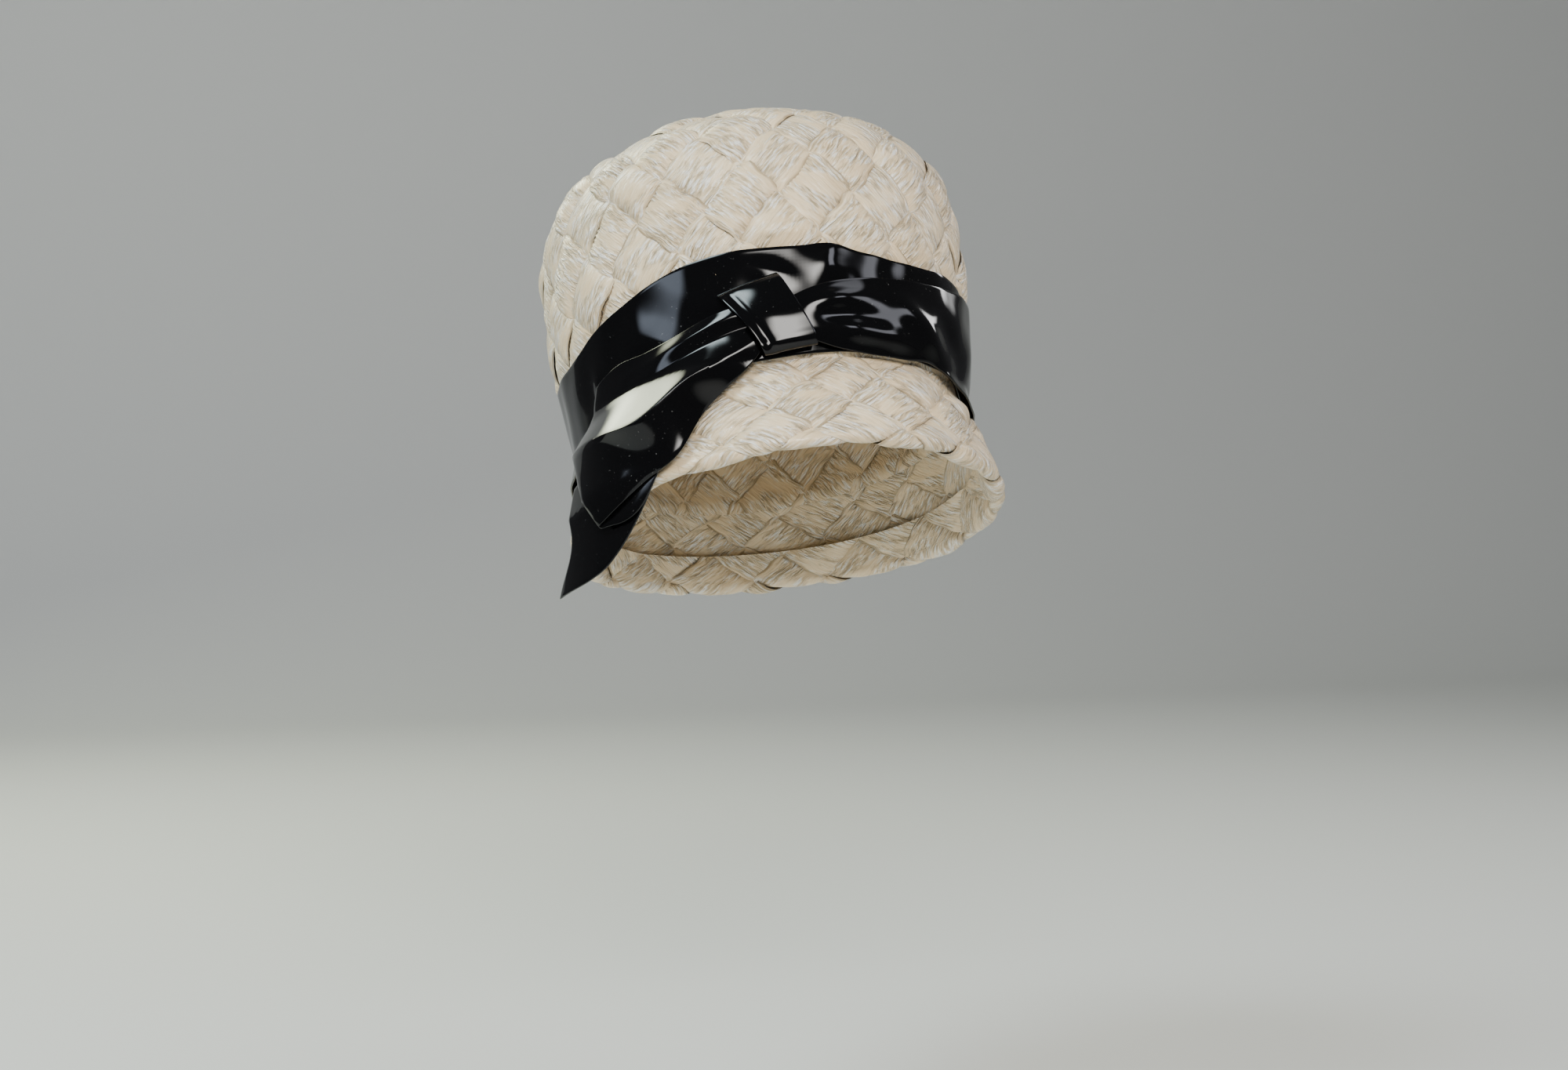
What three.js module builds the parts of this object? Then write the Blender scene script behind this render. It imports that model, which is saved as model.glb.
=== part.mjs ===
// A woven straw hat: a tall bubble crown, a short turned-down brim, and a patent vinyl ribbon
// wound round the base of the crown and tied in a one-sided bow.
//
// Millimetres, +Z up. The hat is drawn upright about its own axis, with its front at -Y and the
// wearer's left at +X, and then tipped back as it is worn. The origin is the centre of the
// headsize line, the oval where crown and brim meet.
//
// Azimuth runs round the hat from the front, positive towards the wearer's left. Height is above
// the headsize line. Stand-off is the distance out from the straw's outer surface.

import * as THREE from 'three';

// Crown: half widths and half lengths of its ovals, and its heights
const HEADSIZE = { x: 79.5, y: 92.0 };
const EQUATOR = { x: 88.4, y: 97.3 };
const EQUATOR_HEIGHT = 77.0;
const DOME_RISE = 55.0;
const DOME_POWER = 2.35;
const CROWN_LEAN = 1.6;

// Brim: half sizes of the rim, its depth at the diagonals and how much deeper the sides are
const RIM = { x: 93.5, y: 102.0 };
const BRIM_DEPTH = 39.0;
const SIDE_DROP = 2.5;
const FLARE_POWER = 1.25;
const HEM_WIDTH = 9.0;
const HEM_THICKNESS = 4.0;

// The bow's side of the brim is pressed in at the rim, most at one azimuth
const PRESSED = { azimuth: -106, depth: 7.0, spread: 26 };

// Materials' thickness, and the gap between neighbouring pieces
const STRAW = 2.2;
const VINYL = 1.2;
const GAP = 0.3;

// How far the hat is tipped back when worn
const WORN_TILT = THREE.MathUtils.degToRad(21);

// Facets
const ROUND_STEPS = 56;
const WALL_STEPS = 4;
const DOME_STEPS = 8;
const BRIM_STEPS = 5;

// Stand-off of a ribbon's middle where it lies on the straw, on the band and on the bow's tail
const ON_STRAW = GAP + VINYL / 2;
const ON_BAND = ON_STRAW + VINYL + GAP;
const ON_TAIL = 5.2;

// Band: the ribbon starts gathered under the knot, goes once round and ends below its own start.
// Each row is a section: azimuth, heights of its lower and upper edge, and the stand-off of its
// lower edge, middle and upper edge.
const BAND = [
  { azimuth: -15, low: 8.6, high: 23.0, lowOff: 4.6, midOff: 5.2, highOff: 4.6 },
  { azimuth: -8, low: 5.2, high: 27.2, lowOff: 4.4, midOff: 5.6, highOff: 4.2 },
  { azimuth: 0, low: 1.6, high: 30.4, lowOff: 3.6, midOff: 5.6, highOff: 3.2 },
  { azimuth: 10, low: -0.2, high: 32.2, lowOff: 3.2, midOff: 5.4, highOff: 2.9 },
  { azimuth: 20, low: -0.4, high: 33.2, lowOff: 3.2, midOff: 5.0, highOff: 2.8 },
  { azimuth: 30, low: 0.2, high: 34.2, lowOff: 3.6, midOff: 4.8, highOff: 2.8 },
  { azimuth: 40, low: -3.4, high: 36.0, lowOff: 4.0, midOff: 4.8, highOff: 2.8 },
  { azimuth: 52, low: -7.0, high: 38.2, lowOff: 4.0, midOff: 4.6, highOff: 2.8 },
  { azimuth: 75, low: -9.6, high: 40.0, lowOff: 3.2, midOff: 3.4, highOff: 2.7 },
  { azimuth: 95, low: -11.0, high: 39.6, lowOff: 1.6, midOff: 1.4, highOff: 1.2 },
  { azimuth: 135, low: -12.5, high: 37.6, lowOff: 1.4, midOff: ON_STRAW, highOff: ON_STRAW },
  { azimuth: 180, low: -13.0, high: 35.4, lowOff: 1.4, midOff: ON_STRAW, highOff: ON_STRAW },
  { azimuth: 225, low: -13.4, high: 32.2, lowOff: 1.4, midOff: ON_STRAW, highOff: ON_STRAW },
  { azimuth: 270, low: -13.4, high: 29.0, lowOff: 1.4, midOff: 1.2, highOff: 1.2 },
  { azimuth: 288, low: -12.0, high: 33.6, lowOff: 1.4, midOff: 1.6, highOff: 1.4 },
  { azimuth: 300, low: -8.6, high: 38.6, lowOff: 1.2, midOff: 1.2, highOff: 1.2 },
  { azimuth: 315, low: -3.4, high: 44.2, lowOff: 1.0, midOff: ON_STRAW, highOff: 1.2 },
  { azimuth: 330, low: -0.2, high: 47.0, lowOff: ON_STRAW, midOff: ON_STRAW, highOff: 1.4 },
  { azimuth: 348, low: 1.2, high: 46.2, lowOff: ON_STRAW, midOff: ON_STRAW, highOff: 1.2 },
  { azimuth: 359, low: 1.6, high: 46.6, lowOff: ON_STRAW, midOff: ON_STRAW, highOff: 1.6 },
  { azimuth: 369, low: 1.4, high: 43.2, lowOff: ON_STRAW, midOff: ON_STRAW, highOff: 1.2 },
  { azimuth: 386, low: 1.4, high: 41.6, lowOff: ON_STRAW, midOff: ON_STRAW, highOff: 1.0 },
  { azimuth: 404, low: 0.6, high: 42.8, lowOff: ON_STRAW, midOff: ON_STRAW, highOff: 1.0 },
  { azimuth: 418, low: -1.0, high: 40.8, lowOff: ON_STRAW, midOff: ON_STRAW, highOff: ON_STRAW },
  { azimuth: 430, low: -2.0, high: 35.0, lowOff: ON_STRAW, midOff: ON_STRAW, highOff: ON_STRAW },
];
const BAND_ACROSS = 8;
const GATHER_END = 55;
const GATHER_STEPS = 28;
const ROUND_BAND_STEPS = 62;

// Pleats pressed into the gathered end of the band. Each row is a straight fold from one point to
// another, with its rise above the ribbon and its half width.
const PLEATS = [
  { from: { azimuth: -13, height: 20 }, to: { azimuth: 11, height: 25 }, rise: 1.6, spread: 4.0 },
  { from: { azimuth: -13, height: 16 }, to: { azimuth: 18, height: 15 }, rise: -1.0, spread: 3.6 },
  { from: { azimuth: -13, height: 11 }, to: { azimuth: 34, height: 4 }, rise: 1.5, spread: 4.4 },
  { from: { azimuth: 10, height: 31 }, to: { azimuth: 45, height: -7 }, rise: 1.8, spread: 5.6 },
  { from: { azimuth: 26, height: 30 }, to: { azimuth: 52, height: 0 }, rise: -1.0, spread: 6.0 },
];

// Knot: sections of the wrapped strip from its tucked upper end, over the front, to its tucked
// lower end. Left and right are as seen from the front of the hat.
const KNOT = [
  { left: { azimuth: -29.6, height: 25.0 }, right: { azimuth: -14.8, height: 29.6 }, off: ON_BAND },
  { left: { azimuth: -31.2, height: 28.2 }, right: { azimuth: -15.8, height: 33.8 }, off: 2.8 },
  { left: { azimuth: -31.6, height: 28.6 }, right: { azimuth: -15.9, height: 34.2 }, off: 4.9 },
  { left: { azimuth: -30.0, height: 25.2 }, right: { azimuth: -14.6, height: 30.2 }, off: 8.4 },
  { left: { azimuth: -25.6, height: 14.6 }, right: { azimuth: -11.6, height: 18.6 }, off: 10.6 },
  { left: { azimuth: -22.6, height: 6.0 }, right: { azimuth: -9.0, height: 9.6 }, off: 10.4 },
  { left: { azimuth: -21.4, height: 1.6 }, right: { azimuth: -7.9, height: 5.0 }, off: 7.8 },
  { left: { azimuth: -21.2, height: 0.0 }, right: { azimuth: -7.8, height: 2.4 }, off: 4.8 },
  { left: { azimuth: -21.4, height: 0.4 }, right: { azimuth: -8.2, height: 2.2 }, off: 2.8 },
  { left: { azimuth: -22.0, height: 3.2 }, right: { azimuth: -9.4, height: 3.4 }, off: ON_BAND },
];
const KNOT_STEPS = 22;
const KNOT_ACROSS = 6;
const KNOT_BOW = 0.8;

// Loop: sections along the ribbon from under the knot, out over the front, round the turn and back
// behind. Each holds azimuth, height and stand-off of the upper edge, the crest and valley of the
// pressed pleat, the ridge that the panel breaks over, and the lower edge.
const LOOP = [
  {
    top: [-22, 21, 6.6], crest: [-22, 18, 6.8], valley: [-21.6, 13.5, 6.4],
    ridge: [-21, 9, 6.8], low: [-20.5, 6, 6.6],
  },
  {
    top: [-29.5, 21.5, 7.2], crest: [-29.5, 17.5, 8.6], valley: [-28.5, 12, 7.2],
    ridge: [-27.5, 3.5, 9.4], low: [-26.2, -3.2, 8.8],
  },
  {
    top: [-44.4, 15.6, 7.4], crest: [-42.2, 11.0, 11.0], valley: [-40.6, 6.0, 10.2],
    ridge: [-39.0, -6.0, 14.0], low: [-37.8, -18.0, 12.4],
  },
  {
    top: [-53.0, 13.6, 7.2], crest: [-52.0, 8.0, 9.8], valley: [-51.2, 1.0, 12.2],
    ridge: [-50.2, -20.0, 16.0], low: [-44.6, -35.8, 12.2],
  },
  {
    top: [-61.8, 13.6, 7.2], crest: [-61.6, 6.6, 9.0], valley: [-61.6, -2.0, 11.2],
    ridge: [-62.0, -19.0, 15.0], low: [-53.2, -42.8, 11.4],
  },
  {
    top: [-70.0, 10.4, 7.2], crest: [-72.0, 4.0, 8.2], valley: [-74.4, -4.0, 9.2],
    ridge: [-78.4, -16.0, 10.4], low: [-64.8, -52.0, 10.0],
  },
  {
    top: [-72.4, 9.8, 6.0], crest: [-74.6, 3.4, 6.6], valley: [-77.0, -4.6, 7.2],
    ridge: [-81.4, -16.6, 8.0], low: [-67.0, -53.4, 8.0],
  },
  {
    top: [-71.0, 9.6, ON_TAIL], crest: [-73.0, 3.4, 5.0], valley: [-75.4, -4.6, 5.2],
    ridge: [-79.4, -16.6, 6.0], low: [-65.8, -54.6, 6.0],
  },
  {
    top: [-58.0, 12.4, ON_TAIL], crest: [-57.8, 4.0, ON_TAIL], valley: [-57.6, -6.0, ON_TAIL],
    ridge: [-57.4, -22.0, ON_TAIL], low: [-55.2, -51.6, 5.0],
  },
  {
    top: [-42.0, 16.6, ON_TAIL], crest: [-41.8, 11.6, ON_TAIL], valley: [-41.4, 5.0, ON_TAIL],
    ridge: [-41.0, -6.0, ON_TAIL], low: [-40.2, -19.0, ON_TAIL],
  },
  {
    top: [-23, 20, ON_TAIL], crest: [-23, 17, ON_TAIL], valley: [-22.5, 13, ON_TAIL],
    ridge: [-22, 9, ON_TAIL], low: [-21.5, 6.5, ON_TAIL],
  },
];
const LOOP_STEPS = 36;
const LOOP_ACROSS = 12;

// Tail: sections along the ribbon from under the knot to the slanted cut, as upper edge, middle
// and lower edge.
const TAIL = [
  { top: [-23, 19, ON_BAND], middle: [-22.5, 13, ON_BAND], low: [-22, 7, ON_BAND] },
  { top: [-44, 11, 2.8], middle: [-43, -5, 2.9], low: [-42, -21, 3.0] },
  { top: [-60, -4, 3.2], middle: [-57, -28, 3.0], low: [-55.5, -52, 3.0] },
  { top: [-72, -17, 3.2], middle: [-69, -41, 3.0], low: [-65.5, -66.5, 3.0] },
  { top: [-78.5, -22, 3.4], middle: [-75.5, -46, 3.4], low: [-74.5, -71.6, 4.4] },
  { top: [-84.5, -26.8, 4.2], middle: [-82.0, -52, 4.0], low: [-90.0, -71.0, 6.2] },
];
const TAIL_STEPS = 16;
const TAIL_ACROSS = 8;

const STRAW_FINISH = { color: 0xd8d2c2, roughness: 0.45, metalness: 0 };
const VINYL_FINISH = { color: 0x0b0b0c, roughness: 0.12, metalness: 0 };

const radians = THREE.MathUtils.degToRad;
const mix = THREE.MathUtils.lerp;

// Depth of the brim below the headsize line
function brimDepth(azimuth) {
  return BRIM_DEPTH - SIDE_DROP * Math.cos(2 * radians(azimuth));
}

// How far the bow's side of the brim is pressed in at the rim
function pressedDepth(azimuth) {
  const aside = THREE.MathUtils.euclideanModulo(azimuth - PRESSED.azimuth + 180, 360) - 180;
  return PRESSED.depth * Math.exp(-((aside / PRESSED.spread) ** 2));
}

// Half sizes of the straw's outer oval; below the rim they stay those of the rim
function outerOval(azimuth, height) {
  if (height >= 0) {
    const inward = (1 - Math.min(height / EQUATOR_HEIGHT, 1)) ** 2;
    return { x: mix(EQUATOR.x, HEADSIZE.x, inward), y: mix(EQUATOR.y, HEADSIZE.y, inward) };
  }
  const flare = Math.min(-height / brimDepth(azimuth), 1) ** FLARE_POWER;
  return { x: mix(HEADSIZE.x, RIM.x, flare), y: mix(HEADSIZE.y, RIM.y, flare) };
}

// A point on an oval at an azimuth, moved out along the oval's own normal
function ovalPoint(oval, azimuth, height, standOff) {
  const sine = Math.sin(radians(azimuth));
  const cosine = Math.cos(radians(azimuth));
  const normal = new THREE.Vector2(sine / oval.x, -cosine / oval.y).normalize();
  const lean = CROWN_LEAN * Math.max(height, 0) / EQUATOR_HEIGHT;
  return new THREE.Vector3(
    oval.x * sine + normal.x * standOff + lean,
    -oval.y * cosine + normal.y * standOff,
    height,
  );
}

// A point at a stand-off from the straw's outer surface
function hatPoint(azimuth, height, standOff) {
  return ovalPoint(outerOval(azimuth, height), azimuth, height, standOff);
}

// A closed geometry from points and triangles
function solid(points, triangles) {
  const geometry = new THREE.BufferGeometry();
  geometry.setFromPoints(points);
  geometry.setIndex(triangles.flat());
  geometry.computeVertexNormals();
  return geometry;
}

// Two triangles for the quad a, b, c, d, counter-clockwise seen from outside
function quad(a, b, c, d) {
  return [[a, b, c], [a, c, d]];
}

// Joins a run of rings of equal length, each to the next; ends given as points close the run
function ringSolid(rings, firstPole, lastPole) {
  const count = rings[0].length;
  const points = rings.flat();
  const triangles = [];
  const closed = !firstPole;
  const bands = closed ? rings.length : rings.length - 1;
  for (let ring = 0; ring < bands; ring += 1) {
    const here = ring * count;
    const there = ((ring + 1) % rings.length) * count;
    for (let step = 0; step < count; step += 1) {
      const next = (step + 1) % count;
      triangles.push(...quad(here + step, here + next, there + next, there + step));
    }
  }
  if (!closed) {
    const first = points.push(firstPole) - 1;
    const last = points.push(lastPole) - 1;
    const lastRing = (rings.length - 1) * count;
    for (let step = 0; step < count; step += 1) {
      const next = (step + 1) % count;
      triangles.push([first, next, step]);
      triangles.push([last, lastRing + step, lastRing + next]);
    }
  }
  return solid(points, triangles);
}

// One ring of points round the hat
function ring(place) {
  return Array.from({ length: ROUND_STEPS }, (_, step) => place(step * 360 / ROUND_STEPS));
}

// Crown: the wall bows out to its equator and a flattened dome closes it
function crownGeometry() {
  const face = (inset) => {
    const rings = [];
    for (let step = 0; step <= WALL_STEPS; step += 1) {
      const height = mix(GAP / 2, EQUATOR_HEIGHT, step / WALL_STEPS);
      rings.push(ring((azimuth) => hatPoint(azimuth, height, -inset)));
    }
    for (let step = 1; step < DOME_STEPS; step += 1) {
      const angle = step / DOME_STEPS * Math.PI / 2;
      const across = Math.cos(angle) ** (2 / DOME_POWER);
      const height = EQUATOR_HEIGHT + (DOME_RISE - inset) * Math.sin(angle) ** (2 / DOME_POWER);
      const oval = { x: (EQUATOR.x - inset) * across, y: (EQUATOR.y - inset) * across };
      rings.push(ring((azimuth) => {
        const point = ovalPoint(oval, azimuth, height, 0);
        point.x += CROWN_LEAN * (1 - height / EQUATOR_HEIGHT);
        return point;
      }));
    }
    return rings;
  };
  const top = (inset) => new THREE.Vector3(CROWN_LEAN, 0, EQUATOR_HEIGHT + DOME_RISE - inset);
  const inside = face(STRAW).reverse();
  return ringSolid([...inside, ...face(0)], top(STRAW), top(0));
}

// Brim: a flared wall with a thicker, rounded hem turned in at the rim
function brimGeometry() {
  const wall = (share, inset) => ring((azimuth) => {
    const height = mix(-GAP / 2, -brimDepth(azimuth), share);
    return hatPoint(azimuth, height, -inset - share * pressedDepth(azimuth));
  });
  const hemStart = 1 - HEM_WIDTH / BRIM_DEPTH;
  const lip = HEM_THICKNESS / BRIM_DEPTH;
  const outside = evenly(0, 1 - lip / 2, BRIM_STEPS).map((share) => wall(share, 0));
  const edge = [
    wall(1 - lip * 0.12, HEM_THICKNESS * 0.2),
    wall(1, HEM_THICKNESS * 0.5),
    wall(1 - lip * 0.12, HEM_THICKNESS * 0.8),
  ];
  const inside = [
    wall(1 - lip / 2, HEM_THICKNESS),
    wall(hemStart, HEM_THICKNESS),
    wall(hemStart - lip / 4, STRAW),
    wall(hemStart / 2, STRAW),
    wall(0, STRAW),
  ];
  return ringSolid([...outside, ...edge, ...inside].reverse());
}

// A sheet with thickness, from a grid of points on its middle surface
function sheetGeometry(grid, thickness) {
  const rows = grid.length;
  const columns = grid[0].length;
  const faces = [[], []];
  for (let row = 0; row < rows; row += 1) {
    for (let column = 0; column < columns; column += 1) {
      const along = grid[Math.min(row + 1, rows - 1)][column].clone();
      along.sub(grid[Math.max(row - 1, 0)][column]);
      const across = grid[row][Math.min(column + 1, columns - 1)].clone();
      across.sub(grid[row][Math.max(column - 1, 0)]);
      const normal = along.cross(across).normalize().multiplyScalar(thickness / 2);
      faces[0].push(grid[row][column].clone().add(normal));
      faces[1].push(grid[row][column].clone().sub(normal));
    }
  }
  const back = rows * columns;
  const at = (row, column) => row * columns + column;
  const triangles = [];
  for (let row = 0; row < rows - 1; row += 1) {
    for (let column = 0; column < columns - 1; column += 1) {
      const corners = [at(row, column), at(row + 1, column), at(row + 1, column + 1), at(row, column + 1)];
      triangles.push(...quad(...corners));
      triangles.push(...quad(...corners.map((corner) => corner + back).reverse()));
    }
  }
  const border = [];
  for (let row = 0; row < rows - 1; row += 1) border.push(at(row, 0));
  for (let column = 0; column < columns - 1; column += 1) border.push(at(rows - 1, column));
  for (let row = rows - 1; row > 0; row -= 1) border.push(at(row, columns - 1));
  for (let column = columns - 1; column > 0; column -= 1) border.push(at(0, column));
  border.forEach((here, index) => {
    const next = border[(index + 1) % border.length];
    triangles.push(...quad(next, here, here + back, next + back));
  });
  return solid(faces.flat(), triangles);
}

// A smooth curve through places given as azimuth, height and stand-off
function smooth(places) {
  return new THREE.CatmullRomCurve3(places.map((place) => new THREE.Vector3(...place)), false, 'catmullrom');
}

// Equal shares from one value to another
function evenly(from, to, steps) {
  return Array.from({ length: steps + 1 }, (_, step) => mix(from, to, step / steps));
}

// Lofts a ribbon through its sections: smooth along each line of places, then across them
function ribbonGrid(sections, shares, across, shift = () => 0) {
  const lines = sections[0].map((_, index) => smooth(sections.map((section) => section[index])));
  return shares.map((share) => {
    const section = smooth(lines.map((line) => line.getPointAt(share).toArray()));
    return evenly(0, 1, across).map((column) => {
      const place = section.getPoint(column);
      return hatPoint(place.x, place.y, place.z + shift(place.x, place.y));
    });
  });
}

// Rise of the pleats at a place on the band's gathered end, fading out at both ends of each fold
function pleatRise(azimuth, height) {
  const arc = radians(1) * HEADSIZE.y;
  let rise = 0;
  for (const pleat of PLEATS) {
    const start = new THREE.Vector2(pleat.from.azimuth * arc, pleat.from.height);
    const fold = new THREE.Vector2(pleat.to.azimuth * arc, pleat.to.height).sub(start);
    const place = new THREE.Vector2(azimuth * arc, height).sub(start);
    const share = place.dot(fold) / fold.lengthSq();
    if (share > 0 && share < 1) {
      const aside = Math.abs(place.cross(fold)) / fold.length();
      rise += pleat.rise * Math.exp(-((aside / pleat.spread) ** 2)) * Math.sin(Math.PI * share);
    }
  }
  return rise;
}

function bandGeometry() {
  const sections = BAND.map((row) => [
    [row.azimuth, row.low, row.lowOff],
    [row.azimuth, mix(row.low, row.high, 0.5), row.midOff],
    [row.azimuth, row.high, row.highOff],
  ]);
  const start = BAND[0].azimuth;
  const gathered = (GATHER_END - start) / (BAND[BAND.length - 1].azimuth - start);
  const shares = [
    ...evenly(0, gathered, GATHER_STEPS),
    ...evenly(gathered, 1, ROUND_BAND_STEPS).slice(1),
  ];
  return sheetGeometry(ribbonGrid(sections, shares, BAND_ACROSS, pleatRise), VINYL);
}

function knotGeometry() {
  const sections = KNOT.map((row) => {
    const middle = [
      mix(row.left.azimuth, row.right.azimuth, 0.5),
      mix(row.left.height, row.right.height, 0.5),
      row.off + (row.off > ON_BAND ? KNOT_BOW : 0),
    ];
    return [
      [row.left.azimuth, row.left.height, row.off],
      middle,
      [row.right.azimuth, row.right.height, row.off],
    ];
  });
  return sheetGeometry(ribbonGrid(sections, evenly(0, 1, KNOT_STEPS), KNOT_ACROSS), VINYL);
}

function loopGeometry() {
  const sections = LOOP.map((row) => [row.top, row.crest, row.valley, row.ridge, row.low]);
  return sheetGeometry(ribbonGrid(sections, evenly(0, 1, LOOP_STEPS), LOOP_ACROSS), VINYL);
}

function tailGeometry() {
  const sections = TAIL.map((row) => [row.top, row.middle, row.low]);
  return sheetGeometry(ribbonGrid(sections, evenly(0, 1, TAIL_STEPS), TAIL_ACROSS), VINYL);
}

function piece(name, geometry, finish) {
  const mesh = new THREE.Mesh(geometry, new THREE.MeshStandardMaterial(finish));
  mesh.name = name;
  return mesh;
}

const hat = new THREE.Group();
hat.add(
  piece('crown', crownGeometry(), STRAW_FINISH),
  piece('brim', brimGeometry(), STRAW_FINISH),
  piece('band', bandGeometry(), VINYL_FINISH),
  piece('knot', knotGeometry(), VINYL_FINISH),
  piece('bow_loop', loopGeometry(), VINYL_FINISH),
  piece('bow_tail', tailGeometry(), VINYL_FINISH),
);
hat.rotation.x = -WORN_TILT;

export default hat;
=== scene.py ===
"""Looks of a woven straw hat with a patent vinyl ribbon tied in a one-sided bow.

The hat is drawn upright about its own axis in millimetres, front at -Y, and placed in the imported
frame by tipping it back as it is worn. Azimuth runs round the hat from the front, positive towards
the wearer's left. Height is above the headsize line, where crown and brim meet. Stand-off is the
distance out from the straw's outer surface.
"""

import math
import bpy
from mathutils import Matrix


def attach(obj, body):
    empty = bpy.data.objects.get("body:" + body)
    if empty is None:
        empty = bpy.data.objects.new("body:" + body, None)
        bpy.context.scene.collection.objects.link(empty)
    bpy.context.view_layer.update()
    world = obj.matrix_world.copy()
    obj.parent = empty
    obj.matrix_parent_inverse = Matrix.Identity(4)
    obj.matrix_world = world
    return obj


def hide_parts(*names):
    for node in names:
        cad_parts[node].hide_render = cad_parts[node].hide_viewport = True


bl_info = {
    "name": "Woven Straw Hat",
    "version": (1, 0, 0),
    "blender": (4, 5, 0),
    "location": "View3D > Sidebar > Hat",
    "description": "Plaited straw hat with a vinyl ribbon bow, built round its packed frame",
    "category": "Add Mesh",
}

import bmesh
import bpy
import numpy as np
from mathutils import Matrix, Vector

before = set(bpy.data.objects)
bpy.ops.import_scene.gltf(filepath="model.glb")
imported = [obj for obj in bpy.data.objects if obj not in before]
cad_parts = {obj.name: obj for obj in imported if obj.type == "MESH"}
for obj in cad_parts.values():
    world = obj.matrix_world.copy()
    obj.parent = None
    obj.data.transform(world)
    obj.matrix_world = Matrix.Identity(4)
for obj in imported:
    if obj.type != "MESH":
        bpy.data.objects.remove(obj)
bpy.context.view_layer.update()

MILLIMETRE = 0.001

# Crown and brim, as the solids have them
HEADSIZE = (79.5, 92.0)
EQUATOR = (88.4, 97.3)
EQUATOR_HEIGHT = 77.0
DOME_RISE = 55.0
DOME_POWER = 2.35
CROWN_LEAN = 1.6
RIM = (93.5, 102.0)
BRIM_DEPTH = 39.0
SIDE_DROP = 2.5
FLARE_POWER = 1.25
PRESSED_AZIMUTH = -106.0
PRESSED_DEPTH = 7.0
PRESSED_SPREAD = 26.0
WORN_TILT = math.radians(21)

# The crown's straw runs on below the headsize line and is tucked in there: height of its end, depth
# of the tuck, height where it starts and the stretch over which it grows
CROWN_END = -12.0
TUCKED = 2.0
TUCK_FROM = 6.0
TUCK_STRETCH = 9.0
DOME_POINTS = 400
WALL_POINTS = 200

# The brim's strips run down to the rim, round a fold and up inside as a hem
BRIM_LENGTH = 40.0
FOLD_RADIUS = 2.4
TURNED_IN = 13.0

# Where the plait's corners lie: strips each way, azimuth of one corner, its distance along the
# straw from the pole (crown) or from the headsize line (brim), and half a cell's height
CROWN_PLAIT = {"strips": 18, "azimuth": -2.4, "start": 112.0, "pitch": 17.5}
BRIM_PLAIT = {"strips": 15, "azimuth": 0.8, "start": 22.0, "pitch": 13.0}
CROWN_ROWS = (-4.0, 5.3)

# The crown's top is laid flat from the same strips: half cells sideways and from front to back. It
# meets the leaning strips at their first row, with two half cells for each strip of one lean
CROWN_TOP = (8, 10)
TOP_STRIPS = range(-4, 5)

# Beside that seam the strips are even. They grow uneven over these rows of the wall and over this
# part of the top's half width. The top's corners fade out over these rows, and a gap is left at the pole
EVEN_ROWS = 1.2
EVEN_TOP = 0.3125
CORNER_ROWS = 4
POLE_GAP = 0.3

# The brim has no flat-laid top: its first row is out of reach, and no corners turn it
NO_TOP = -100
NO_CORNERS = ((0, 1), (0, 0))

# Faces along a strip of the crown's wall, of its top and of the brim
WALL_STEPS = 119
TOP_STEPS = 72
BRIM_STEPS = 79

# A strip's shape: powers that square off its bends, its cells' ends and their sides, then how full
# the cells are, and how many bulges they tilt and lift, with less lift at their pinned edges
BEND_POWER = 0.38
CELL_POWER = 0.4
SIDE_POWER = 6
FULLNESS = (0.55, 1.5)
TILT = 0.7
LIFT = 3.6
LIFT_POWER = 1.5
PINNED = 0.5
PIN_POWER = 4

# Number of cells before a strip's pattern repeats, and how far the strips' edges are shifted
CELLS = 40
WIDTH_SHIFT = 0.11

# Ragged edges as height and pace along the strip, ridges as paces across it, and their sway
RAGGED = ((0.022, 5.1), (0.014, 13.0))
RIDGES = (6.0, 9.5, 14.0)
RIDGE_SWAY = 0.7
SWAY_PACE = 1.3

# Straw is pressed flat under the band, and free at this distance from the band's edges
PRESSED_SHARE = 0.12
BAND_MARGIN = 0.5
PUFF_DISTANCE = 6.0

# Strand coordinates in millimetres: a cell's length, half a strip's width, spacing, largest start
CELL_LENGTH = 24.0
HALF_WIDTH = 11.5
STRAND_SPACING = 40.0
STRAND_STARTS = 400.0

# Loose fibre ends: width, taper, height of the root, ranges of length, lift, bend and tone, and how
# far down the crown and the brim they grow
FIBRE_WIDTH = 0.16
FIBRE_TAPER = 0.6
FIBRE_ROOT = 0.4
FIBRE_LENGTH = (3, 9)
FIBRE_LIFT = (0.15, 0.5)
FIBRE_BEND = (-1.2, 1.2)
FIBRE_TONE = (0.4, 1)
CROWN_STRAY = (30, 160)
BRIM_STRAY = (BRIM_LENGTH - 6, BRIM_LENGTH + 5)

# Seeds of the random draws
STRAY_SEED = 21
CROWN_SEED = 3
BRIM_SEED = 8

# Tints that the straw's colour is multiplied by, as sRGB hex, and brightness of the darker streaks between
# its painted glints
DULL_PATCH = "F8F5EF"
TAN_STAIN = "E7D4B3"
STRIP_SHADE = "F6F3EF"
DIM_STREAK = 0.6

# Stand-off of the middle of a ribbon that lies on the straw, the band or the tail
ON_STRAW = 0.9
ON_BAND = 2.4
ON_TAIL = 5.2

# Points on a smooth curve, and the angle from which a ribbon's edge is rounded
CURVE_POINTS = 1200
EDGE_ANGLE = math.radians(50)

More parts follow.
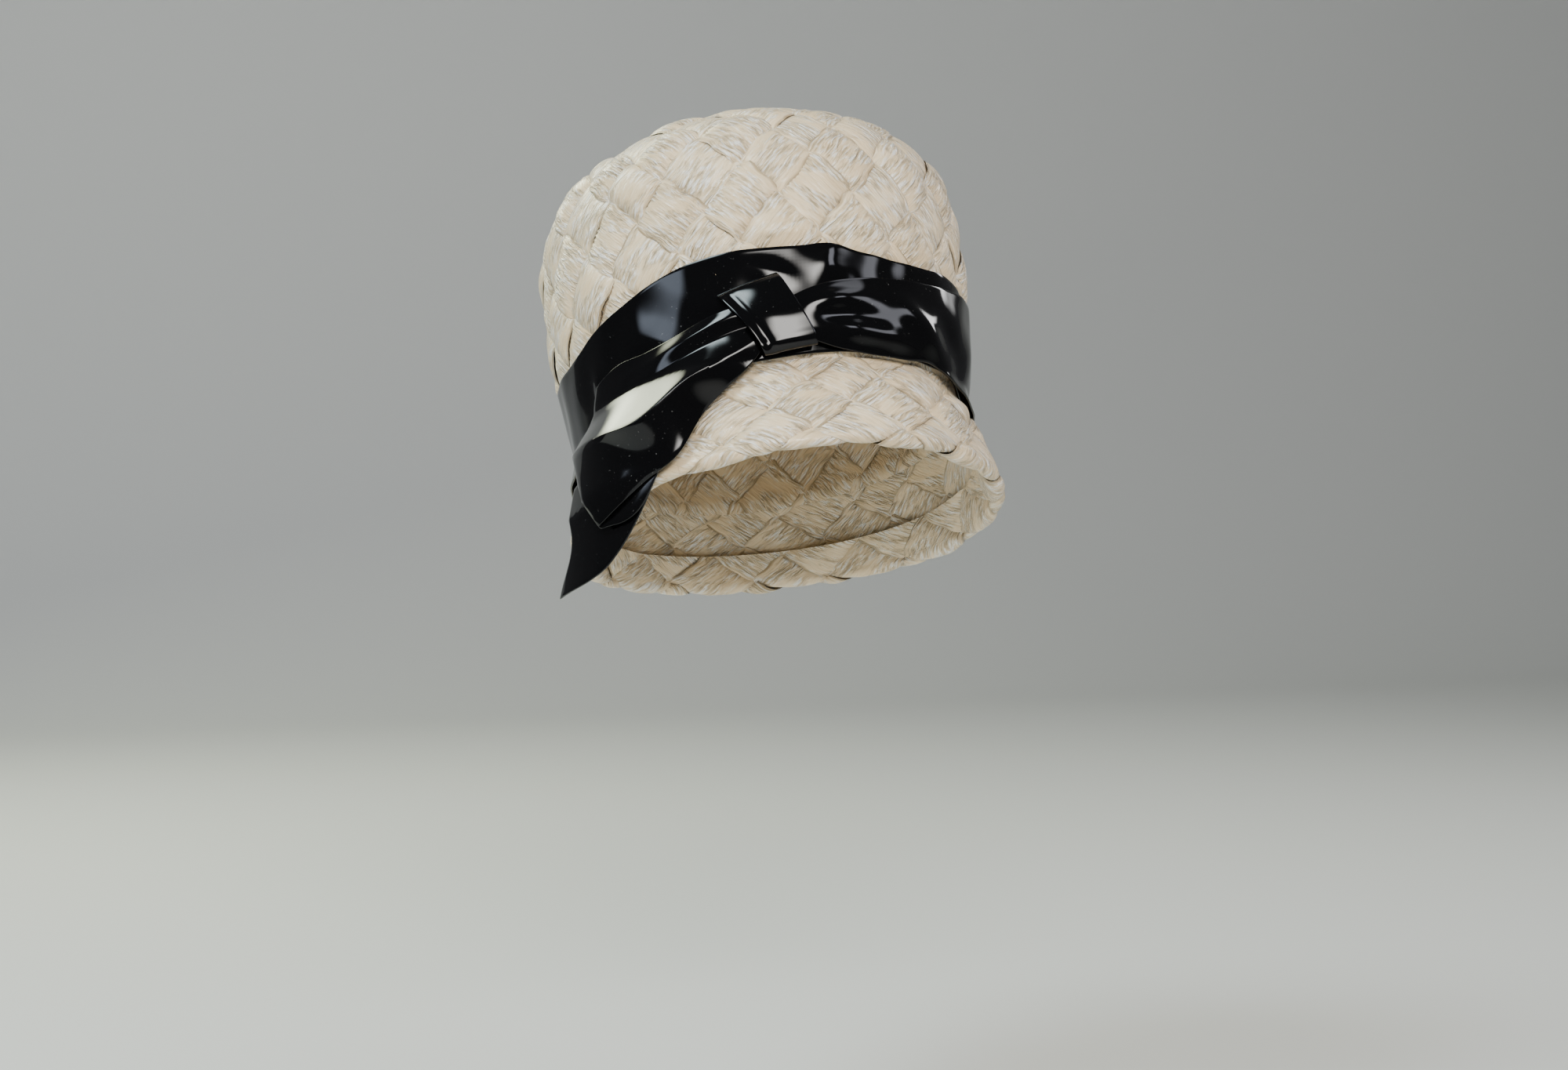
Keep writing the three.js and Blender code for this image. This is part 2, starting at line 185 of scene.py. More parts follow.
# Band sections: azimuth, lower and upper edge, stand-off of lower edge, middle and upper edge
BAND = (
    (-15, 8.6, 23.0, 4.6, 5.2, 4.6),
    (-8, 5.2, 27.2, 4.4, 5.6, 4.2),
    (0, 1.6, 30.4, 3.6, 5.6, 3.2),
    (10, -0.2, 32.2, 3.2, 5.4, 2.9),
    (20, -0.4, 33.2, 3.2, 5.0, 2.8),
    (30, 0.2, 34.2, 3.6, 4.8, 2.8),
    (40, -3.4, 36.0, 4.0, 4.8, 2.8),
    (52, -7.0, 38.2, 4.0, 4.6, 2.8),
    (75, -9.6, 40.0, 3.2, 3.4, 2.7),
    (95, -11.0, 39.6, 1.6, 1.4, 1.2),
    (135, -12.5, 37.6, 1.4, ON_STRAW, ON_STRAW),
    (180, -13.0, 35.4, 1.4, ON_STRAW, ON_STRAW),
    (225, -13.4, 32.2, 1.4, ON_STRAW, ON_STRAW),
    (270, -13.4, 29.0, 1.4, 1.2, 1.2),
    (288, -12.0, 33.6, 1.4, 1.6, 1.4),
    (300, -8.6, 38.6, 1.2, 1.2, 1.2),
    (315, -3.4, 44.2, 1.0, ON_STRAW, 1.2),
    (330, -0.2, 47.0, ON_STRAW, ON_STRAW, 1.4),
    (348, 1.2, 46.2, ON_STRAW, ON_STRAW, 1.2),
    (359, 1.6, 46.6, ON_STRAW, ON_STRAW, 1.6),
    (369, 1.4, 43.2, ON_STRAW, ON_STRAW, 1.2),
    (386, 1.4, 41.6, ON_STRAW, ON_STRAW, 1.0),
    (404, 0.6, 42.8, ON_STRAW, ON_STRAW, 1.0),
    (418, -1.0, 40.8, ON_STRAW, ON_STRAW, ON_STRAW),
    (430, -2.0, 35.0, ON_STRAW, ON_STRAW, ON_STRAW),
)

# Folds pressed into the band: from azimuth and height, to azimuth and height, rise, half width
PLEATS = (
    ((-13, 20), (11, 25), 1.6, 4.0),
    ((-13, 16), (18, 15), -1.0, 3.6),
    ((-13, 11), (34, 4), 1.5, 4.4),
    ((10, 31), (45, -7), 1.8, 5.6),
    ((26, 30), (52, 0), -1.0, 6.0),
    ((286, 24), (284, -6), 0.9, 2.6),
    ((300, 30), (322, 4), 0.7, 5.0),
    ((318, 40), (338, 12), 0.8, 5.0),
    ((330, 44), (352, 30), 0.9, 4.0),
    ((352, 42), (366, 40), -0.6, 3.5),
)

# Round dents in the band: azimuth, height, rise and radius
DENTS = ((358.5, 41.5, 1.1, 6.5), (378, 36, -0.7, 8.0))

# Soft waves in the vinyl: height, and direction, length and phase of each wave
RIPPLE = 1.1
RIPPLE_WAVES = ((0.3, 41.0, 0.4), (1.1, 27.0, 2.0), (2.2, 33.0, 4.1), (-0.4, 19.0, 1.3))

# Knot sections: left edge's azimuth and height, right edge's azimuth and height, stand-off
KNOT = (
    (-29.6, 25.0, -14.8, 29.6, ON_BAND),
    (-31.2, 28.2, -15.8, 33.8, 2.8),
    (-31.6, 28.6, -15.9, 34.2, 4.6),
    (-30.0, 25.2, -14.6, 30.2, 7.2),
    (-25.6, 14.6, -11.6, 18.6, 10.7),
    (-22.6, 5.6, -9.0, 9.2, 11.0),
    (-21.9, 2.4, -8.3, 5.4, 10.9),
    (-21.4, 0.0, -7.9, 2.6, 9.6),
    (-21.3, 0.6, -7.9, 3.0, 7.6),
    (-21.3, 2.6, -7.9, 4.6, 5.0),
    (-21.5, 4.4, -8.4, 6.0, 2.8),
    (-22.0, 5.6, -9.4, 7.0, ON_BAND),
)

# The knot's front bows out, and its left edge has a lip with a groove beside it. Places and widths
# are shares of the knot's width; the lip grows between the two stand-offs
KNOT_BOW = 0.4
KNOT_LIP = 0.8
LIP_WIDTH = 0.07
GROOVE = 0.45
GROOVE_PLACE = 0.17
GROOVE_WIDTH = 0.06
LIP_GROWS = (4, 8)

# Loop sections, each as azimuth, height and stand-off of the upper edge, the pleat's crest and
# valley, the ridge and the lower edge
LOOP = (
    ((-22, 21, 6.6), (-22, 18, 6.8), (-21.6, 13.5, 6.4), (-21, 9, 6.8), (-20.5, 6, 6.6)),
    ((-29.5, 21.5, 7.2), (-29.5, 17.5, 8.6), (-28.5, 12, 7.2), (-27.5, 3.5, 9.6), (-26.2, -3.2, 6.8)),
    ((-44.4, 15.6, 7.4), (-42.2, 11, 11), (-40.6, 6, 10.4), (-39, -6, 17), (-37.8, -18, 5.3)),
    ((-53, 13.6, 7.2), (-52, 8, 9.8), (-51.2, 1, 12.2), (-50.2, -20, 20.2), (-44.6, -35.8, 5.3)),
    ((-61.8, 13.6, 7.2), (-61.6, 6.6, 9), (-61.6, -2, 11.2), (-62, -19, 17.8), (-53.2, -42.8, 5.6)),
    ((-70, 10.4, 7.2), (-72, 4, 8.2), (-74.4, -4, 9.2), (-78.4, -16, 11.4), (-64.8, -52, 7.2)),
    ((-72.4, 9.8, 6), (-74.6, 3.4, 6.6), (-77, -4.6, 7.2), (-81.4, -16.6, 8), (-67, -53.4, 7.4)),
    ((-71, 9.6, ON_TAIL), (-73, 3.4, 5), (-75.4, -4.6, 5.2), (-79.4, -16.6, 6), (-65.8, -54.6, 6)),
    ((-58, 12.4, 4.6), (-57.8, 4, 4.6), (-57.6, -6, 4.5), (-57.4, -22, 4.5), (-55.2, -51.6, 4.5)),
    ((-42, 16.6, 4.6), (-41.8, 11.6, 4.5), (-41.4, 5, 4.5), (-41, -6, 4.4), (-40.2, -19, 4.4)),
    ((-23, 20, 5.2), (-23, 17, 5.2), (-22.5, 13, 5.2), (-22, 9, 5.2), (-21.5, 6.5, 5.2)),
)

# The loop's folds are creased by this share, and its ridge has a crest: height, place and width
# across the loop, and the shares along it where the crest begins, is full, falls and ends
LOOP_CREASED = 0.75
LOOP_CREST = 0.6
CREST_PLACE = 0.75
CREST_WIDTH = 0.05
CREST_RISE = (0.10, 0.22)
CREST_FALL = (0.48, 0.56)

# Tail sections, each as azimuth, height and stand-off of the upper edge, the middle and the
# lower edge
TAIL = (
    ((-23, 19, ON_BAND), (-22.5, 13, ON_BAND), (-22, 7, ON_BAND)),
    ((-44, 11, 2.8), (-43, -5, 2.9), (-42, -21, 3.0)),
    ((-60, -4, 3.2), (-57, -28, 3.0), (-55.5, -52, 3.0)),
    ((-72, -17, 3.2), (-69, -41, 3.0), (-65.5, -66.5, 3.0)),
    ((-78.5, -22, 3.4), (-75.5, -46, 3.4), (-74.5, -71.6, 4.4)),
    ((-84.5, -26.8, 4.2), (-82.0, -52, 4.0), (-90.0, -71.0, 6.2)),
)

# Paper sweep in metres: where it starts and bends, its bend's radius, its length and its two sides
SWEEP_START = -2.5
SWEEP_BEND = 1.6
SWEEP_RADIUS = 0.6
SWEEP_LENGTH = 6.0
SWEEP_SIDES = (-1.1, 3.4)
SWEEP_STEPS = 120

# Lights face one point and fade between two shares of their size from the middle, with a gain for it
LIGHT_TARGET = (0, 0, 0.02)
LIGHT_FADE = (0.2, 0.5)
LIGHT_GAIN = 1.9

# The studio's even light: colour as sRGB hex, and strength
STUDIO_AIR = "BCBDC0"
STUDIO_GLOW = 0.2

# Lights: name, azimuth and elevation as seen from the hat, distance, size, power and colour
LIGHTS = (
    ("key_light", -13, 25, 1.9, (1.3, 0.74), 38, "FFFCF7"),
    ("top_light", 150, 78, 1.6, (1.1, 1.1), 2, "FFEFD8"),
    ("fill_left", -78, 52, 1.7, (0.8, 0.8), 25, "E0F2F6"),
    ("card_right", 52, 26, 1.6, (0.8, 0.42), 3, "F2F4FF"),
    ("card_front", 24, 31, 1.6, (0.42, 0.36), 1.8, "F0F2FF"),
    ("card_high", 63, 60, 1.6, (0.7, 0.7), 2.5, "F2F4FF"),
    ("window_left", -84, 21, 1.7, (0.9, 0.6), 5, "DCEAFF"),
    ("card_behind", -160, 31, 1.5, (1.1, 0.8), 18, "F8FFE0"),
    ("strip_right", 112, 23, 1.5, (0.3, 0.6), 3, "FFFFFF"),
)

# Camera: turned from the front, pitched down, its distance, and where the origin shows
IMAGE_SIZE = (2000, 1365)
SENSOR_WIDTH = 36.0
FOCAL_PIXELS = 4030.0
CAMERA_AZIMUTH = math.radians(-20)
CAMERA_PITCH = math.radians(3)
CAMERA_DISTANCE = 1.350
ORIGIN_PIXEL = (980, 555)

# The Mix node's colour sockets share their names with its other kinds of socket, so go by number
MIX_A = 6
MIX_B = 7
MIX_RESULT = 2


# Settings

class StrawSettings(bpy.types.PropertyGroup):
    """Plaited straw of the crown and the brim"""
    relief: bpy.props.FloatProperty(
        name="Relief", description="How far a strip rises and dips as it passes over and under",
        default=1.05 * MILLIMETRE, unit="LENGTH")
    bulge: bpy.props.FloatProperty(
        name="Bulge", description="How far the middle of a strip stands above its edges",
        default=0.75 * MILLIMETRE, unit="LENGTH")
    crinkle: bpy.props.FloatProperty(
        name="Crinkle", description="Height of the ridges along a strip",
        default=0.2 * MILLIMETRE, unit="LENGTH")
    overlap: bpy.props.FloatProperty(
        name="Overlap", description="Share of its width by which a strip reaches under its neighbours",
        default=0.16, subtype="FACTOR")
    across: bpy.props.IntProperty(
        name="Steps across", description="Number of faces across a strip", default=14)
    stray: bpy.props.IntProperty(
        name="Stray fibres", description="Number of loose fibre ends on the crown", default=220)
    fibre: bpy.props.StringProperty(
        name="Fibre", description="Colour of the straw, as sRGB hex", default="EFD8B1")
    # Painted highlight: colour of the bright glints painted into the straw's colour
    painted_glint: bpy.props.StringProperty(
        name="Streak", description="Colour of its glossy light streaks, as sRGB hex", default="FFFBF2")
    # Painted shade: colour of the painted shadow lines along the strips' edges, also used for the brown fibre
    # lines
    line: bpy.props.StringProperty(
        name="Line", description="Colour of its brown shadow lines, as sRGB hex", default="A58F6C")


class RibbonSettings(bpy.types.PropertyGroup):
    """Vinyl ribbon of the band and the bow"""
    thickness: bpy.props.FloatProperty(
        name="Thickness", description="Thickness of the vinyl", default=0.8 * MILLIMETRE, unit="LENGTH")
    edge: bpy.props.FloatProperty(
        name="Edge", description="Rounding of the cut edges", default=0.22 * MILLIMETRE, unit="LENGTH")
    vinyl: bpy.props.StringProperty(
        name="Vinyl", description="Colour of the vinyl, as sRGB hex", default="060607")
    dust: bpy.props.StringProperty(
        name="Dust", description="Colour of the dust on it, as sRGB hex", default="8A8A88")


class StageSettings(bpy.types.PropertyGroup):
    """Floor, backdrop, lights and camera"""
    drop: bpy.props.FloatProperty(
        name="Drop", description="Depth of the floor below the headsize line", default=0.30, unit="LENGTH")
    paper: bpy.props.StringProperty(
        name="Paper", description="Colour of floor and backdrop, as sRGB hex", default="D2D2D0")


# Shape of the hat

def mix(start, end, share):
    """A value between start and end."""
    return start + (end - start) * share


def brim_depth(azimuth):
    """Height from the headsize line down to the rim."""
    return BRIM_DEPTH - SIDE_DROP * np.cos(2 * np.radians(azimuth))


def pressed_depth(azimuth):
    """How far the bow's side of the brim is pressed in at the rim."""
    aside = np.mod(azimuth - PRESSED_AZIMUTH + 180, 360) - 180
    return PRESSED_DEPTH * np.exp(-((aside / PRESSED_SPREAD) ** 2))


def hat_points(azimuth, height, stand_off):
    """Points at a stand-off from the straw's outer surface, on the wall or the brim."""
    inward = (1 - np.clip(height / EQUATOR_HEIGHT, 0, 1)) ** 2
    flare = np.clip(-height / brim_depth(azimuth), 0, 1) ** FLARE_POWER
    wide, long = (np.where(height >= 0, mix(equator, headsize, inward), mix(headsize, rim, flare))
                  for equator, headsize, rim in zip(EQUATOR, HEADSIZE, RIM))
    sine = np.sin(np.radians(azimuth))
    cosine = np.cos(np.radians(azimuth))
    slope = np.hypot(sine / wide, cosine / long)
    lean = CROWN_LEAN * np.clip(height / EQUATOR_HEIGHT, 0, 1)
    return np.stack([
        wide * sine + sine / wide / slope * stand_off + lean,
        -long * cosine - cosine / long / slope * stand_off,
        height + 0 * sine,
    ], axis=-1)


def crown_profile():
    """Distance from the pole, share of the equator's size and height, down the crown's outline."""
    angle = np.linspace(math.pi / 2, 0, DOME_POINTS)
    across = np.cos(angle) ** (2 / DOME_POWER)
    height = EQUATOR_HEIGHT + DOME_RISE * np.sin(angle) ** (2 / DOME_POWER)
    wall = np.linspace(EQUATOR_HEIGHT, CROWN_END, WALL_POINTS)[1:]
    across[0] = 0
    shrink = np.mean(np.divide(HEADSIZE, EQUATOR))
    wall_across = mix(1, shrink, (1 - np.clip(wall / EQUATOR_HEIGHT, 0, 1)) ** 2)
    across = np.concatenate([across, wall_across])
    height = np.concatenate([height, wall])
    steps = np.hypot(np.diff(across) * np.mean(EQUATOR), np.diff(height))
    return np.concatenate([[0], np.cumsum(steps)]), across, height


PROFILE = crown_profile()


def crown_place(azimuth, down):
    """Points on the crown at a distance down from the pole."""
    across = np.interp(down, PROFILE[0], PROFILE[1])
    height = np.interp(down, PROFILE[0], PROFILE[2])
    dome = np.stack([
        EQUATOR[0] * across * np.sin(np.radians(azimuth)) + CROWN_LEAN,
        -EQUATOR[1] * across * np.cos(np.radians(azimuth)),
        height,
    ], axis=-1)
    tuck = -TUCKED * np.clip((TUCK_FROM - height) / TUCK_STRETCH, 0, 1) ** 2
    return np.where((height > EQUATOR_HEIGHT)[..., None], dome, hat_points(azimuth, height, tuck))


def brim_place(azimuth, down):
    """Points on the brim at a distance down from the headsize line, round the rim and up inside."""
    turn = np.clip((down - BRIM_LENGTH) / FOLD_RADIUS, 0, math.pi)
    back = np.clip(down - BRIM_LENGTH - math.pi * FOLD_RADIUS, 0, None)
    share = (np.minimum(down, BRIM_LENGTH) + FOLD_RADIUS * np.sin(turn) - back) / BRIM_LENGTH
    inset = FOLD_RADIUS * (1 - np.cos(turn)) + np.minimum(share, 1) * pressed_depth(azimuth)
    return hat_points(azimuth, -share * brim_depth(azimuth), -inset)


def band_edges(azimuth):
    """Heights of the band's lowest and highest edge at an azimuth, over all its layers."""
    turns, lows, highs = np.array(BAND).T[:3]
    first = np.mod(azimuth - turns[0], 360) + turns[0]
    second = np.where(first + 360 <= turns[-1], first + 360, first)
    low = np.minimum(np.interp(first, turns, lows), np.interp(second, turns, lows))
    high = np.maximum(np.interp(first, turns, highs), np.interp(second, turns, highs))
    return low, high


def freedom(azimuth, height):
    """How free the straw is to puff up: 0 under the band, 1 a little way off its edges."""
    low, high = band_edges(azimuth)
    above = height - high - BAND_MARGIN
    below = low - BAND_MARGIN - height
    return np.clip(np.maximum(above, below) / PUFF_DISTANCE, 0, 1)


def raised(place, azimuth, down, rise):
    """Points of a surface moved out along its own normal."""
    step = 0.3
    round_step = place(azimuth + step, down) - place(azimuth - step, down)
    down_step = place(azimuth, down + step) - place(azimuth, down - step)
    normal = np.cross(down_step, round_step)
    normal /= np.linalg.norm(normal, axis=-1, keepdims=True)
    return place(azimuth, down) + normal * rise[..., None]


def tipped(points):
    """The upright hat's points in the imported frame, in metres."""
    turn = np.array(Matrix.Rotation(-WORN_TILT, 3, "X"))
    return points @ turn.T * MILLIMETRE


# Materials

def linear(code):
    """An sRGB hex colour as linear RGBA."""
    parts = [int(code[index:index + 2], 16) / 255 for index in (0, 2, 4)]
    return [part / 12.92 if part <= 0.04045 else ((part + 0.055) / 1.055) ** 2.4 for part in parts] + [1]


def add(tree, kind, links=None, stops=(), **settings):
    """Adds a shader node; links maps input names or numbers to sockets or values, and stops holds
    the positions and colours of a colour ramp."""
    node = tree.nodes.new("ShaderNode" + kind)
    for name, value in settings.items():
        setattr(node, name, value)
    for name, value in (links or {}).items():
        if isinstance(value, bpy.types.NodeSocket):
            tree.links.new(value, node.inputs[name])
        else:
            node.inputs[name].default_value = value
    for index, (position, colour) in enumerate(stops):
        elements = node.color_ramp.elements
        element = elements[index] if index < len(elements) else elements.new(position)
        element.position = position
        element.color = colour
    return node


def blank_material(name):
    """A material without nodes, and its node tree."""
    material = bpy.data.materials.new(name)
    material.use_nodes = True
    tree = material.node_tree
    tree.nodes.clear()
    return material, tree


def straw_material(settings):
    """Raffia-like straw: flat ivory strips of fine parallel fibres with a waxy gloss. Its colour holds
    painted highlights as short bright glints on crinkled fibres, brown fibre lines, painted shadow lines
    along the strips' edges and a few tan stains."""
    material, tree = blank_material("plaited_raffia_straw")
    strand = add(tree, "UVMap", uv_map="strand")
    tone = add(tree, "Attribute", attribute_name="tone")
    # Sizes along and across the strips in millimetres. Real fibres are about 0.4 mm wide; they are
    # drawn near 1 mm so that they show in the render
    sizes = {
        "glint": (7, 1.0), "fibre": (45, 1.1), "crease": (20, 2.8),
        "patch": (26, 12), "stain": (16, 7), "shine": (17, 9),
    }
    noise = {}
    for name, (along, across) in sizes.items():
        stretch = add(tree, "Mapping", {
            "Vector": strand.outputs["UV"], "Scale": (1 / along, 1 / across, 1)})
        noise[name] = add(tree, "TexNoise", {
            "Vector": stretch.outputs["Vector"], "Scale": 1, "Detail": 3, "Roughness": 0.6,
            "Distortion": 0.35}).outputs["Fac"]
    fibre = linear(settings.fibre)
    painted_glint = linear(settings.painted_glint)
    line = linear(settings.line)
    white = linear("FFFFFF")
    dim = [DIM_STREAK * part for part in fibre[:3]] + [1]
    # Only the crinkled parts of a cell show their fibres, with painted glints and darker streaks; the rest is
    # smooth
    shine = add(tree, "MapRange", {
        "Value": noise["shine"], "From Min": 0.40, "From Max": 0.54, "To Min": 0.15}).outputs["Result"]
    # Painted highlights: bright glints and darker streaks in the colour, where the glint noise is high or low
    streaks = add(tree, "ValToRGB", {"Fac": noise["glint"]}, stops=(
        (0.36, dim), (0.50, fibre), (0.58, painted_glint)))
    body = add(tree, "Mix", {
        "Factor": shine, MIX_A: fibre, MIX_B: streaks.outputs["Color"]}, data_type="RGBA").outputs[MIX_RESULT]
    # Tints over it: brown fibre lines, dull patches, tan stains and each strip's own shade
    tints = (
        (noise["fibre"], 0.3, ((0.30, line), (0.42, white))),
        (noise["patch"], 1.0, ((0.32, linear(DULL_PATCH)), (0.58, white))),
        (noise["stain"], 0.8, ((0.72, white), (0.80, linear(TAN_STAIN)))),
        (tone.outputs["Fac"], 1.0, ((0.0, linear(STRIP_SHADE)), (1.0, white))),
    )
    for source, share, stops in tints:
        tint = add(tree, "ValToRGB", {"Fac": source}, stops=stops).outputs["Color"]
        body = add(tree, "Mix", {
            "Factor": share, MIX_A: body, MIX_B: tint}, data_type="RGBA",
            blend_type="MULTIPLY").outputs[MIX_RESULT]
    # Broken brown painted shadow lines along the strips' edges, where one strip lies over the next
    edge = add(tree, "Attribute", attribute_name="edge")
    rim = add(tree, "MapRange", {
        "Value": edge.outputs["Fac"], "From Min": 0.9, "From Max": 0.96, "To Max": 0.85})
    broken = add(tree, "MapRange", {"Value": noise["patch"], "From Min": 0.66, "From Max": 0.5})
    shadow = add(tree, "Math", {
        0: rim.outputs["Result"], 1: broken.outputs["Result"]}, operation="MULTIPLY")
    body = add(tree, "Mix", {
        "Factor": shadow.outputs["Value"], MIX_A: body, MIX_B: line}, data_type="RGBA").outputs[MIX_RESULT]
    gloss = add(tree, "MapRange", {
        "Value": noise["glint"], "From Min": 0.42, "From Max": 0.62, "To Min": 0.42, "To Max": 0.12})
    creases = add(tree, "Bump", {
        "Height": noise["crease"], "Strength": 0.7, "Distance": 1.1 * MILLIMETRE})
    fibres = add(tree, "Bump", {
        "Height": noise["fibre"], "Normal": creases.outputs["Normal"], "Strength": 0.6,
        "Distance": 0.7 * MILLIMETRE})
    glints = add(tree, "Bump", {
        "Height": noise["glint"], "Normal": fibres.outputs["Normal"], "Strength": shine,
        "Distance": 2.8 * MILLIMETRE})
    shader = add(tree, "BsdfPrincipled", {
        "Base Color": body, "Roughness": gloss.outputs["Result"], "IOR": 1.5,
        "Normal": glints.outputs["Normal"], "Sheen Weight": 0.1, "Sheen Roughness": 0.4})
    add(tree, "OutputMaterial", {"Surface": shader.outputs["BSDF"]})
    return material


def vinyl_material(settings):
    """Patent vinyl: black plastic film, calendered smooth. It gives the eye near black with sharp
    mirror highlights, a slight waviness in them and a little dust."""
    material, tree = blank_material("black_patent_vinyl")
    place = add(tree, "TexCoord").outputs["Object"]
    # Sizes in millimetres and detail of each pattern; dust is drawn coarser than it is, to show
    sizes = {"wave": (16, 1), "specks": (1.2, 2), "patch": (30, 3)}
    noise = {}
    for name, (size, detail) in sizes.items():
        noise[name] = add(tree, "TexNoise", {
            "Vector": place, "Scale": 1 / (size * MILLIMETRE), "Detail": detail}).outputs["Fac"]
    dusty = add(tree, "MapRange", {"Value": noise["specks"], "From Min": 0.70, "From Max": 0.78})
    spread = add(tree, "MapRange", {
        "Value": noise["patch"], "From Min": 0.45, "From Max": 0.7, "To Max": 0.5})
    dust = add(tree, "Math", {
        0: dusty.outputs["Result"], 1: spread.outputs["Result"]}, operation="MULTIPLY")
    colour = add(tree, "Mix", {
        "Factor": dust.outputs["Value"], MIX_A: linear(settings.vinyl), MIX_B: linear(settings.dust)},
        data_type="RGBA")
    rough = add(tree, "MapRange", {
        "Value": noise["patch"], "From Min": 0.35, "From Max": 0.75, "To Min": 0.045, "To Max": 0.11})
    bump = add(tree, "Bump", {"Height": noise["wave"], "Strength": 0.35, "Distance": 0.5 * MILLIMETRE})
    # Vinyl's own index is near 1.53; a lower one keeps the mirrored studio lights dim enough
    shader = add(tree, "BsdfPrincipled", {
        "Base Color": colour.outputs[MIX_RESULT], "Roughness": rough.outputs["Result"], "IOR": 1.38,
        "Normal": bump.outputs["Normal"]})
    add(tree, "OutputMaterial", {"Surface": shader.outputs["BSDF"]})
    return material


def paper_material(settings):
    """Matt background paper: pale and even, so that it takes soft shadows."""
    material, tree = blank_material("matt_background_paper")
    shader = add(tree, "BsdfPrincipled", {"Base Color": linear(settings.paper), "Roughness": 0.9})
    add(tree, "OutputMaterial", {"Surface": shader.outputs["BSDF"]})
    return material


def shared_material(name, make, settings):
    """A material by its name, made the first time that it is asked for."""
    return bpy.data.materials.get(name) or make(settings)


# Straw

def add_grid(bm, along_steps, across_steps, shape):
    """Adds a grid and moves its corners; shape takes two arrays from 0 to 1 and gives points."""
    grid = bmesh.ops.create_grid(bm, x_segments=along_steps, y_segments=across_steps, size=0.5)
    corners = grid["verts"]
    places = np.array([corner.co for corner in corners]) + 0.5
    for corner, point in zip(corners, shape(places[:, 0], places[:, 1])):
        corner.co = Vector(point)


def mesh_object(name, bm, material):
    """A smooth-shaded object in the scene, made from a bmesh that is then freed."""
    for face in bm.faces:
        face.smooth = True
    mesh = bpy.data.meshes.new(name)
    bm.to_mesh(mesh)
    bm.free()
    mesh.materials.append(material)
    piece = bpy.data.objects.new(name, mesh)
    bpy.context.collection.objects.link(piece)
    return piece


def eased(share):
    """0 below 0, 1 above 1 and a soft rise between."""
    share = np.clip(share, 0, 1)
    return share * share * (3 - 2 * share)


def squared_turn():
    """How far the corners of the flat-laid top turn the plait's columns, as columns and degrees, on
    its four sides and the first of them again."""
    column_angle = 180 / CROWN_PLAIT["strips"]
    columns = []
    turns = []
    centre = 0
    for side in range(5):
        half = CROWN_TOP[side % 2] / 2
        steps = np.linspace(-half, half, 40)
        place = centre + steps
        columns.append(place)
        turns.append(90 * side + np.degrees(np.arcsin(steps / half / math.sqrt(2))) - column_angle * place)
        centre += sum(CROWN_TOP) / 2
    return np.concatenate(columns), np.concatenate(turns)


